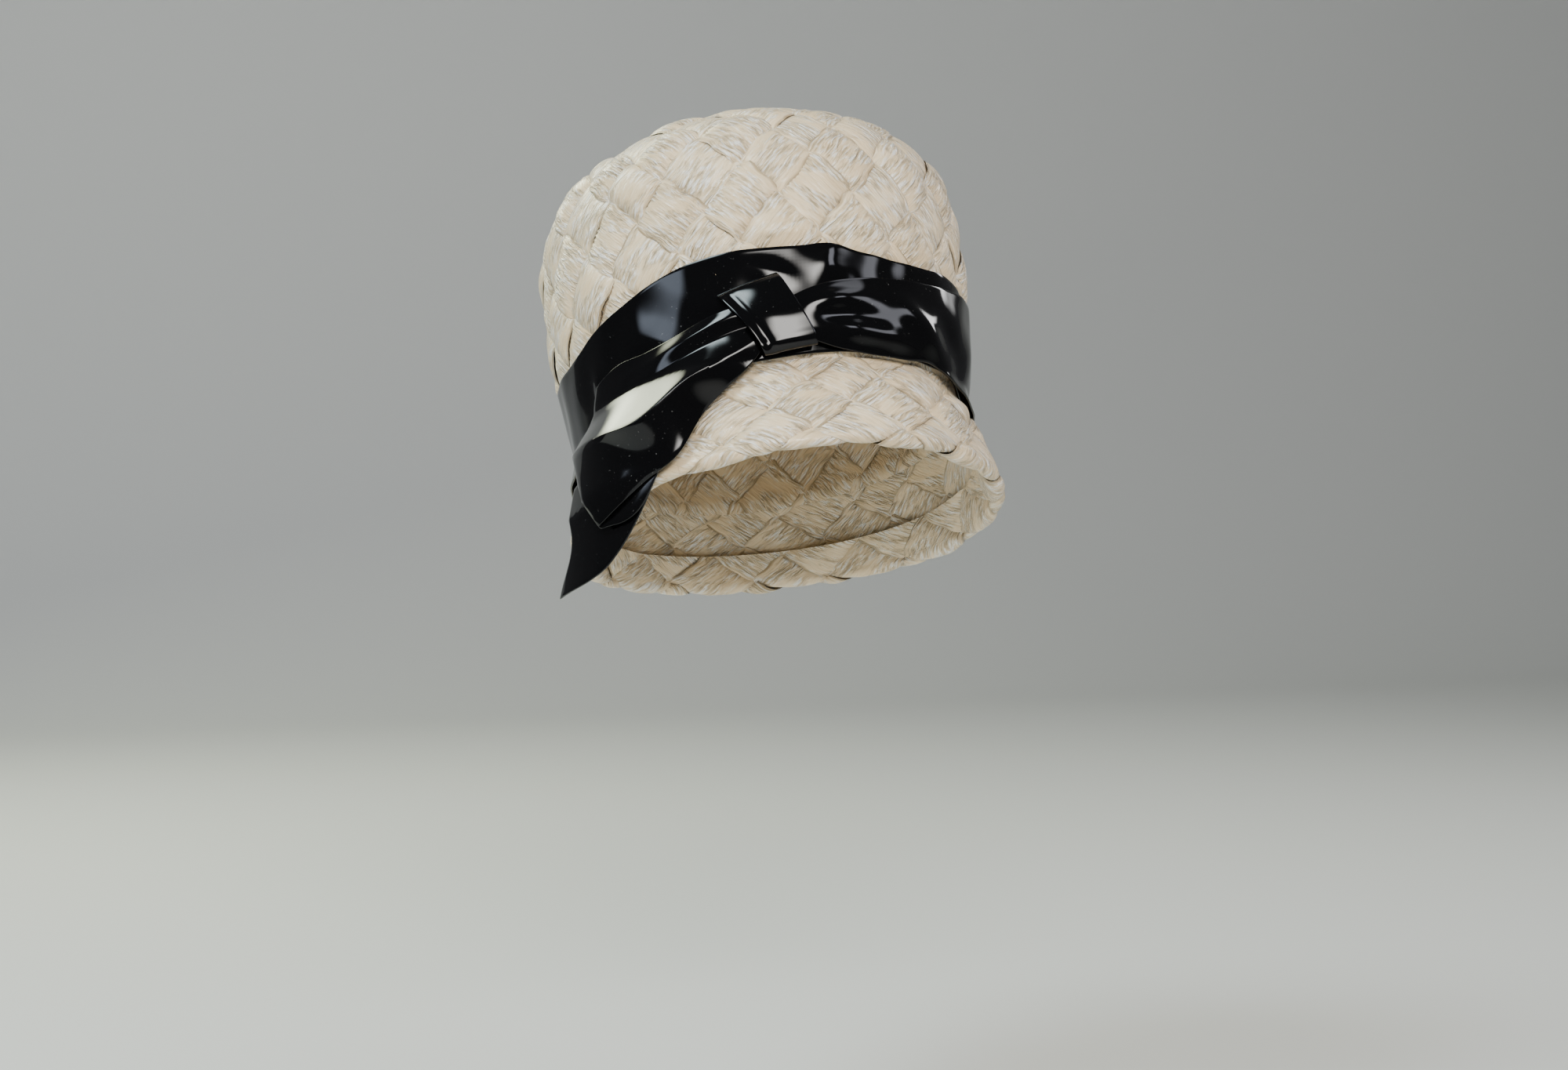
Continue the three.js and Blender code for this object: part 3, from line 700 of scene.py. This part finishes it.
class Plait:
    """A plain plait of strips that lean both ways round the hat, with its own uneven widths."""

    def __init__(self, place, plait, rows_to_down, first_row, seed):
        self.place = place
        self.strips = plait["strips"]
        self.azimuth = plait["azimuth"]
        self.rows_to_down = rows_to_down
        self.first_row = first_row
        self.random = np.random.default_rng(seed)
        self.edges = np.arange(-3 * self.strips, 4 * self.strips + 1)
        self.shifted = []
        for _ in range(2):
            shift = self.random.uniform(-WIDTH_SHIFT, WIDTH_SHIFT, self.strips)
            self.shifted.append(self.edges + shift[self.edges % self.strips])

    def leaning(self, lean, rows, corners):
        """A route for strips that lean one way down the hat; lean 0 rises to the right as seen from
        outside. A route gives azimuth, distance down, cell size, crossing strip and unevenness."""
        def route(along, own):
            row = np.interp(along, np.linspace(0, 1, len(rows)), rows)
            uneven = eased((row - self.first_row) / EVEN_ROWS)
            own_line = mix(own, np.interp(own, self.edges, self.shifted[lean]), uneven)
            crossing_line = own_line - row if lean == 0 else own_line + row
            shifted_crossing = np.interp(crossing_line, self.shifted[1 - lean], self.edges)
            crossing = mix(crossing_line, shifted_crossing, uneven)
            column = own_line + crossing_line
            fade = eased((self.first_row + CORNER_ROWS - row) / CORNER_ROWS)
            turned = fade * np.interp(np.mod(column, 2 * self.strips), *corners)
            down, size = self.rows_to_down(row)
            return self.azimuth + column * 180 / self.strips + turned, down, size, crossing, uneven
        return route

    def laid_flat(self, lean):
        """A route for strips that cross the crown's top and meet the leaning ones at its sides."""
        wide, long = CROWN_TOP

        def route(along, own):
            first = np.maximum(1 - wide / 2 - own, own - long / 2)
            last = np.minimum(1 + wide / 2 - own, own + long / 2)
            crossing = mix(first, last, along)
            across = np.clip((own + crossing - 1) / wide * 2, -1, 1)
            rear = np.clip((own - crossing) * (1 if lean == 0 else -1) / long * 2, -1, 1)
            right = across * np.sqrt(1 - rear ** 2 / 2)
            back = rear * np.sqrt(1 - across ** 2 / 2)
            down, size = self.rows_to_down(self.first_row)
            azimuth = self.azimuth + np.degrees(np.arctan2(right, -back))
            uneven = eased((1 - np.maximum(np.abs(across), np.abs(rear))) / EVEN_TOP)
            return azimuth, np.maximum(down * np.hypot(right, back), POLE_GAP), size, crossing, uneven
        return route

    def strip(self, bm, settings, lean, index, route, steps, length):
        """Adds one strip to a bmesh and returns each corner's strand coordinates, tone and nearness
        to the strip's edge."""
        sign = (-1 if index % 2 else 1) * (1 if lean == 0 else -1)
        # Phases for the ragged edges, then for each ridge, with one row to spare
        phases = self.random.uniform(0, 2 * math.pi, (5, 2))
        fullness = self.random.uniform(*FULLNESS, CELLS)
        tilts = self.random.uniform(-1, 1, CELLS)
        lifts = self.random.uniform(0, 1, CELLS) ** LIFT_POWER
        tone = self.random.uniform(0, 1)
        start = self.random.uniform(0, STRAND_STARTS)
        strand = []

        def shape(along, across):
            reach = along * length
            side = (across - 0.5) * 2
            ragged = sum(
                height * np.sin(reach * pace + phase) for (height, pace), phase in zip(RAGGED, phases[0]))
            own = index + 0.5 + side * (0.5 + settings.overlap / 2) + ragged * side
            azimuth, down, size, crossing, uneven = route(along, own)
            wave = np.sin(math.pi * crossing) * sign
            weave = np.sign(wave) * np.abs(wave) ** BEND_POWER
            cell = np.mod(np.floor(crossing), CELLS).astype(int)
            over = np.clip(wave, 0, 1) ** CELL_POWER
            swell = mix(1, fullness[cell], uneven)
            lift = LIFT * lifts[cell] * (1 - PINNED * side ** PIN_POWER)
            loose = (TILT * tilts[cell] * side + lift) * uneven
            bulge = ((1 - side ** SIDE_POWER) * swell + loose) * over
            ridges = sum(
                np.sin(side * pace + phase + RIDGE_SWAY * np.sin(reach * SWAY_PACE + sway))
                for pace, (phase, sway) in zip(RIDGES, phases[1:])) / len(RIDGES)
            free = mix(PRESSED_SHARE, 1, freedom(azimuth, self.place(azimuth, down)[..., 2]))
            puff = settings.bulge * bulge + settings.crinkle * ridges * uneven
            rise = settings.relief * (weave - 1) + puff * free
            strand.append(np.stack([
                reach * CELL_LENGTH + start,
                side * HALF_WIDTH + STRAND_SPACING * index,
                0 * reach + tone,
                np.abs(side),
            ], axis=-1))
            return tipped(raised(self.place, azimuth, down, rise / MILLIMETRE * size))

        add_grid(bm, steps, settings.across, shape)
        return strand[0]


def stray_fibres(bm, place, count, down_range, seed):
    """Adds loose fibre ends that lift off the straw, and returns their strand coordinates."""
    random = np.random.default_rng(seed)
    strands = []
    for _ in range(count):
        azimuth = random.uniform(0, 360)
        down = random.uniform(*down_range)
        heading = random.uniform(0, 2 * math.pi)
        length = random.uniform(*FIBRE_LENGTH)
        lift = random.uniform(*FIBRE_LIFT)
        bend = random.uniform(*FIBRE_BEND)
        tone = random.uniform(*FIBRE_TONE)

        def shape(along, across):
            reach = along * length
            turn = heading + bend * along
            aside = (across - 0.5) * FIBRE_WIDTH * (1 - FIBRE_TAPER * along)
            round_shift = reach * np.cos(turn) - aside * np.sin(turn)
            down_shift = reach * np.sin(turn) + aside * np.cos(turn)
            strands.append(np.stack([reach, aside, 0 * reach + tone, 0 * reach], axis=-1))
            return tipped(raised(
                place, azimuth + np.degrees(round_shift / np.mean(EQUATOR)), down + down_shift,
                FIBRE_ROOT + lift * reach * along))

        add_grid(bm, 5, 1, shape)
    return np.concatenate(strands)


def straw_object(name, plait, settings, strips, stray, stray_down):
    """A woven piece made of all strips of a plait, with stray fibres on it."""
    bm = bmesh.new()
    strands = [stray_fibres(bm, plait.place, stray, stray_down, STRAY_SEED)]
    for strip in strips:
        strands.append(plait.strip(bm, settings, *strip))
    strands = np.concatenate(strands)
    piece = mesh_object(name, bm, shared_material("plaited_raffia_straw", straw_material, settings))
    mesh = piece.data
    corner_of_loop = np.empty(len(mesh.loops), dtype=np.int32)
    mesh.loops.foreach_get("vertex_index", corner_of_loop)
    layer = mesh.uv_layers.new(name="strand")
    layer.data.foreach_set("uv", strands[corner_of_loop, :2].ravel().astype(np.float32))
    for column, attribute in ((2, "tone"), (3, "edge")):
        values = mesh.attributes.new(attribute, "FLOAT", "POINT")
        values.data.foreach_set("value", strands[:, column].astype(np.float32))
    return piece


def crown_rows_to_down():
    """A function from plait rows to distance down the crown and the cells' size there."""
    step = 0.01
    rows_below = 7
    rows_above = 5
    below = [CROWN_PLAIT["start"]]
    above = [CROWN_PLAIT["start"]]
    for _ in range(round(rows_below / step)):
        below.append(below[-1] + step * CROWN_PLAIT["pitch"])
    for _ in range(round(rows_above / step)):
        size = np.interp(above[-1], PROFILE[0], PROFILE[1])
        above.append(above[-1] - step * CROWN_PLAIT["pitch"] * size)
    down = np.array(above[:0:-1] + below)
    rows = np.arange(len(down)) * step - step * (len(above) - 1)
    size = np.interp(down, PROFILE[0], PROFILE[1])
    return lambda row: (np.interp(row, rows, down), np.interp(row, rows, size))


class HAT_OT_crown(bpy.types.Operator):
    """Plait the crown from strips that run from its tip to the headsize line"""
    bl_idname = "hat.crown"
    bl_label = "Crown"

    def execute(self, context):
        settings = context.scene.hat_straw
        plait = Plait(crown_place, CROWN_PLAIT, crown_rows_to_down(), CROWN_ROWS[0], CROWN_SEED)
        rows = np.linspace(*CROWN_ROWS, WALL_STEPS + 1)
        corners = squared_turn()
        strips = []
        for lean in (0, 1):
            wall = plait.leaning(lean, rows, corners)
            strips += [(lean, index, wall, WALL_STEPS, rows[-1] - rows[0]) for index in range(plait.strips)]
            top = plait.laid_flat(lean)
            strips += [(lean, index, top, TOP_STEPS, sum(CROWN_TOP) / 2) for index in TOP_STRIPS]
        piece = straw_object("straw_crown", plait, settings, strips, settings.stray, CROWN_STRAY)
        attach(piece, "root")
        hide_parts("crown")
        return {"FINISHED"}


class HAT_OT_brim(bpy.types.Operator):
    """Plait the brim from strips that turn in round the rim"""
    bl_idname = "hat.brim"
    bl_label = "Brim"

    def execute(self, context):
        settings = context.scene.hat_straw

        def rows_to_down(row):
            return BRIM_PLAIT["start"] + row * BRIM_PLAIT["pitch"], 1 + 0 * row

        plait = Plait(brim_place, BRIM_PLAIT, rows_to_down, NO_TOP, BRIM_SEED)
        end = BRIM_LENGTH + math.pi * FOLD_RADIUS + TURNED_IN
        first = -BRIM_PLAIT["start"] / BRIM_PLAIT["pitch"]
        last = (end - BRIM_PLAIT["start"]) / BRIM_PLAIT["pitch"]
        rows = np.linspace(first, last, BRIM_STEPS + 1)
        strips = [(lean, index, plait.leaning(lean, rows, NO_CORNERS), BRIM_STEPS, last - first)
                  for lean in (0, 1) for index in range(plait.strips)]
        piece = straw_object("straw_brim", plait, settings, strips, settings.stray // 2, BRIM_STRAY)
        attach(piece, "root")
        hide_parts("brim")
        return {"FINISHED"}


# Ribbon

def smooth_through(points, shares):
    """Points on a smooth curve through given points, at shares of its steps from 0 to 1."""
    points = np.asarray(points, dtype=float)
    padded = np.concatenate([[2 * points[0] - points[1]], points, [2 * points[-1] - points[-2]]])
    place = np.asarray(shares) * (len(points) - 1)
    step = np.minimum(place.astype(int), len(points) - 2)
    part = (place - step).reshape((-1,) + (1,) * (points.ndim - 1))
    before, start, end, after = (padded[step + offset] for offset in range(4))
    leave = (end - before) / 2
    arrive = (after - start) / 2
    return (start * (2 * part ** 3 - 3 * part ** 2 + 1) + leave * (part ** 3 - 2 * part ** 2 + part)
            + end * (3 * part ** 2 - 2 * part ** 3) + arrive * (part ** 3 - part ** 2))


def evenly_along(points, count):
    """Points at even distances along a smooth curve through given points."""
    shares = np.linspace(0, 1, CURVE_POINTS)
    fine = smooth_through(points, shares)
    lengths = np.concatenate([[0], np.cumsum(np.linalg.norm(np.diff(fine, axis=0), axis=1))])
    even = np.interp(np.linspace(0, lengths[-1], count), lengths, shares)
    return smooth_through(points, even)


def ribbon_places(sections, along_steps, across_steps, creased=0.0):
    """Azimuth, height and stand-off over a ribbon lofted through its sections; the share creased
    makes its sides flat between sharp folds."""
    lines = np.stack([evenly_along([section[index] for section in sections], along_steps + 1)
                      for index in range(len(sections[0]))])
    shares = np.linspace(0, 1, across_steps + 1)
    step = np.minimum((shares * (len(lines) - 1)).astype(int), len(lines) - 2)
    part = (shares * (len(lines) - 1) - step)[:, None, None]
    flat = mix(lines[step], lines[step + 1], part)
    return mix(smooth_through(lines, shares), flat, creased).swapaxes(0, 1)


def ribbon_object(name, points, settings):
    """A vinyl ribbon from a grid of points on its middle surface."""
    along_steps = points.shape[0] - 1
    across_steps = points.shape[1] - 1

    def shape(along, across):
        row = np.rint(along * along_steps).astype(int)
        column = np.rint(across * across_steps).astype(int)
        return tipped(points[row, column])

    bm = bmesh.new()
    add_grid(bm, along_steps, across_steps, shape)
    piece = mesh_object(name, bm, shared_material("black_patent_vinyl", vinyl_material, settings))
    wall = piece.modifiers.new("Thickness", "SOLIDIFY")
    wall.thickness = settings.thickness
    wall.offset = 0
    edge = piece.modifiers.new("Edge", "BEVEL")
    edge.width = settings.edge
    edge.segments = 2
    edge.limit_method = "ANGLE"
    edge.angle_limit = EDGE_ANGLE
    return piece


def finish_ribbon(piece, node):
    """Ties a ribbon to the frame as a sheet that takes the place of a solid."""
    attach(piece, "root")
    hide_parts(node)


def pleat_rise(azimuth, height):
    """Rise of the band's pleats, which fade out at both ends of each fold, and of its dents."""
    arc = math.radians(1) * HEADSIZE[1]
    rise = np.zeros_like(azimuth)
    for start, end, top, spread in PLEATS:
        fold = np.array([(end[0] - start[0]) * arc, end[1] - start[1]])
        length = np.hypot(*fold)
        aside_x = (azimuth - start[0]) * arc
        aside_y = height - start[1]
        share = (aside_x * fold[0] + aside_y * fold[1]) / length ** 2
        aside = (aside_x * fold[1] - aside_y * fold[0]) / length
        fade = np.sin(math.pi * np.clip(share, 0, 1)) ** 2
        rise += top * np.exp(-((aside / spread) ** 2)) * fade
    for centre, middle, top, radius in DENTS:
        rise += top * np.exp(-(((azimuth - centre) * arc) ** 2 + (height - middle) ** 2) / radius ** 2)
    return rise


def ripple(azimuth, height):
    """Soft waves in the film, at most RIPPLE above the surface that it lies on."""
    arc = azimuth * math.radians(1) * HEADSIZE[1]
    waves = sum(np.sin((arc * math.cos(turn) + height * math.sin(turn)) * 2 * math.pi / length + phase)
                for turn, length, phase in RIPPLE_WAVES) / len(RIPPLE_WAVES)
    return RIPPLE * (0.5 + 0.5 * waves)


class HAT_OT_band(bpy.types.Operator):
    """Wind the ribbon once round the base of the crown"""
    bl_idname = "hat.band"
    bl_label = "Band"

    def execute(self, context):
        sections = [((az, low, low_off), (az, (low + high) / 2, middle_off), (az, high, high_off))
                    for az, low, high, low_off, middle_off, high_off in BAND]
        places = ribbon_places(sections, along_steps=420, across_steps=32)
        azimuth, height, stand_off = np.moveaxis(places, -1, 0)
        rise = pleat_rise(azimuth, height) + ripple(azimuth, height)
        points = hat_points(azimuth, height, stand_off + rise)
        piece = ribbon_object("vinyl_band", points, context.scene.hat_ribbon)
        finish_ribbon(piece, "band")
        return {"FINISHED"}


class HAT_OT_knot(bpy.types.Operator):
    """Wrap the knot over the ends of the bow"""
    bl_idname = "hat.knot"
    bl_label = "Knot"

    def execute(self, context):
        sections = []
        for left, left_height, right, right_height, off in KNOT:
            bow = KNOT_BOW if off > ON_BAND else 0
            middle = ((left + right) / 2, (left_height + right_height) / 2, off + bow)
            sections.append(((left, left_height, off), middle, (right, right_height, off)))
        places = ribbon_places(sections, along_steps=90, across_steps=28)
        azimuth, height, stand_off = np.moveaxis(places, -1, 0)
        side = np.linspace(0, 1, places.shape[1])
        groove = GROOVE * np.exp(-(((side - GROOVE_PLACE) / GROOVE_WIDTH) ** 2))
        lip = np.exp(-((side / LIP_WIDTH) ** 2)) - groove
        front = np.interp(stand_off, LIP_GROWS, (0, 1))
        points = hat_points(azimuth, height, stand_off + KNOT_LIP * lip * front)
        piece = ribbon_object("vinyl_knot", points, context.scene.hat_ribbon)
        finish_ribbon(piece, "knot")
        return {"FINISHED"}


class HAT_OT_loop(bpy.types.Operator):
    """Fold the bow's loop out from under the knot and back"""
    bl_idname = "hat.loop"
    bl_label = "Loop"

    def execute(self, context):
        places = ribbon_places(LOOP, along_steps=150, across_steps=44, creased=LOOP_CREASED)
        azimuth, height, stand_off = np.moveaxis(places, -1, 0)
        along, across = (np.linspace(0, 1, count) for count in places.shape[:2])
        front = np.interp(along, CREST_RISE + CREST_FALL, (0, 1, 1, 0))
        crest = LOOP_CREST * np.exp(-np.abs(across - CREST_PLACE) / CREST_WIDTH)
        points = hat_points(azimuth, height, stand_off + np.outer(front, crest))
        piece = ribbon_object("vinyl_loop", points, context.scene.hat_ribbon)
        finish_ribbon(piece, "bow_loop")
        return {"FINISHED"}


class HAT_OT_tail(bpy.types.Operator):
    """Hang the bow's tail from under the knot"""
    bl_idname = "hat.tail"
    bl_label = "Tail"

    def execute(self, context):
        places = ribbon_places(TAIL, along_steps=90, across_steps=24)
        points = hat_points(*np.moveaxis(places, -1, 0))
        piece = ribbon_object("vinyl_tail", points, context.scene.hat_ribbon)
        finish_ribbon(piece, "bow_tail")
        return {"FINISHED"}


# Stage

def direction(azimuth, elevation):
    """A unit vector out from the hat, its azimuth from the front."""
    level = math.cos(elevation)
    return Vector((math.sin(azimuth) * level, -math.cos(azimuth) * level, math.sin(elevation)))


def area_light(name, place, size, power, colour):
    """A rectangular light that faces the hat and fades towards its edges, like a lamp behind cloth."""
    data = bpy.data.lights.new(name, "AREA")
    data.shape = "RECTANGLE"
    data.size, data.size_y = size
    data.energy = power
    data.color = linear(colour)[:3]
    data.use_nodes = True
    tree = data.node_tree
    tree.nodes.clear()
    place_on_light = add(tree, "NewGeometry").outputs["Parametric"]
    spot = add(tree, "SeparateXYZ", {"Vector": place_on_light})
    strength = LIGHT_GAIN
    for axis in "XY":
        aside = add(tree, "Math", {0: spot.outputs[axis], 1: 0.5}, operation="SUBTRACT")
        share = add(tree, "Math", {0: aside.outputs["Value"]}, operation="ABSOLUTE")
        fade = add(tree, "MapRange", {
            "Value": share.outputs["Value"], "From Min": LIGHT_FADE[1], "From Max": LIGHT_FADE[0]},
            interpolation_type="SMOOTHSTEP")
        product = add(tree, "Math", {0: strength, 1: fade.outputs["Result"]}, operation="MULTIPLY")
        strength = product.outputs["Value"]
    glow = add(tree, "Emission", {"Strength": strength})
    add(tree, "OutputLight", {"Surface": glow.outputs["Emission"]})
    light = bpy.data.objects.new(name, data)
    light.location = place
    light.rotation_euler = (Vector(LIGHT_TARGET) - place).to_track_quat("-Z", "Y").to_euler()
    bpy.context.collection.objects.link(light)


class HAT_OT_stage(bpy.types.Operator):
    """Set the floor, the lights and the camera"""
    bl_idname = "hat.stage"
    bl_label = "Stage"

    def execute(self, context):
        settings = context.scene.hat_stage
        bm = bmesh.new()

        def sweep(across, along):
            distance = along * SWEEP_LENGTH + SWEEP_START
            bend = np.clip((distance - SWEEP_BEND) / SWEEP_RADIUS, 0, math.pi / 2)
            rise = np.clip(distance - SWEEP_BEND - SWEEP_RADIUS * math.pi / 2, 0, None)
            return np.stack([
                mix(*SWEEP_SIDES, across),
                np.minimum(distance, SWEEP_BEND) + SWEEP_RADIUS * np.sin(bend),
                -settings.drop + SWEEP_RADIUS * (1 - np.cos(bend)) + rise,
            ], axis=-1)

        add_grid(bm, 2, SWEEP_STEPS, sweep)
        floor = mesh_object("floor", bm, paper_material(settings))

        for name, azimuth, elevation, distance, size, power, colour in LIGHTS:
            place = direction(math.radians(azimuth), math.radians(elevation)) * distance
            area_light(name, place, size, power, colour)

        world = bpy.data.worlds.new("studio")
        world.use_nodes = True
        background = world.node_tree.nodes["Background"]
        background.inputs["Color"].default_value = linear(STUDIO_AIR)
        background.inputs["Strength"].default_value = STUDIO_GLOW
        context.scene.world = world

        back = direction(CAMERA_AZIMUTH, CAMERA_PITCH)
        right = Vector((math.cos(CAMERA_AZIMUTH), math.sin(CAMERA_AZIMUTH), 0))
        up = back.cross(right)
        scale = CAMERA_DISTANCE / FOCAL_PIXELS
        aside = (ORIGIN_PIXEL[0] - IMAGE_SIZE[0] / 2) * scale
        above = (IMAGE_SIZE[1] / 2 - ORIGIN_PIXEL[1]) * scale
        data = bpy.data.cameras.new("camera")
        data.sensor_fit = "HORIZONTAL"
        data.sensor_width = SENSOR_WIDTH
        data.lens = FOCAL_PIXELS * SENSOR_WIDTH / IMAGE_SIZE[0]
        camera = bpy.data.objects.new("camera", data)
        place = Matrix.Translation(back * CAMERA_DISTANCE - right * aside - up * above)
        camera.matrix_world = place @ Matrix((right, up, back)).transposed().to_4x4()
        context.collection.objects.link(camera)
        context.scene.camera = camera
        return {"FINISHED"}


class HAT_PT_panel(bpy.types.Panel):
    """Settings and operators of the hat"""
    bl_idname = "HAT_PT_panel"
    bl_label = "Woven straw hat"
    bl_space_type = "VIEW_3D"
    bl_region_type = "UI"
    bl_category = "Hat"

    def draw(self, context):
        for group in (context.scene.hat_straw, context.scene.hat_ribbon, context.scene.hat_stage):
            column = self.layout.column()
            for name in group.__annotations__:
                column.prop(group, name)
        for operator in OPERATORS:
            self.layout.operator(operator.bl_idname)


SETTINGS = {"hat_straw": StrawSettings, "hat_ribbon": RibbonSettings, "hat_stage": StageSettings}
OPERATORS = (HAT_OT_crown, HAT_OT_brim, HAT_OT_band, HAT_OT_knot, HAT_OT_loop, HAT_OT_tail, HAT_OT_stage)


def register():
    for group in SETTINGS.values():
        bpy.utils.register_class(group)
    for operator in OPERATORS:
        bpy.utils.register_class(operator)
    bpy.utils.register_class(HAT_PT_panel)
    for name, group in SETTINGS.items():
        setattr(bpy.types.Scene, name, bpy.props.PointerProperty(type=group))


def unregister():
    for name in SETTINGS:
        delattr(bpy.types.Scene, name)
    bpy.utils.unregister_class(HAT_PT_panel)
    for operator in reversed(OPERATORS):
        bpy.utils.unregister_class(operator)
    for group in reversed(list(SETTINGS.values())):
        bpy.utils.unregister_class(group)


def main():
    register()
    bpy.ops.hat.stage()
    bpy.ops.hat.crown()
    bpy.ops.hat.brim()
    bpy.ops.hat.band()
    bpy.ops.hat.knot()
    bpy.ops.hat.loop()
    bpy.ops.hat.tail()


if __name__ == "__main__":
    main()
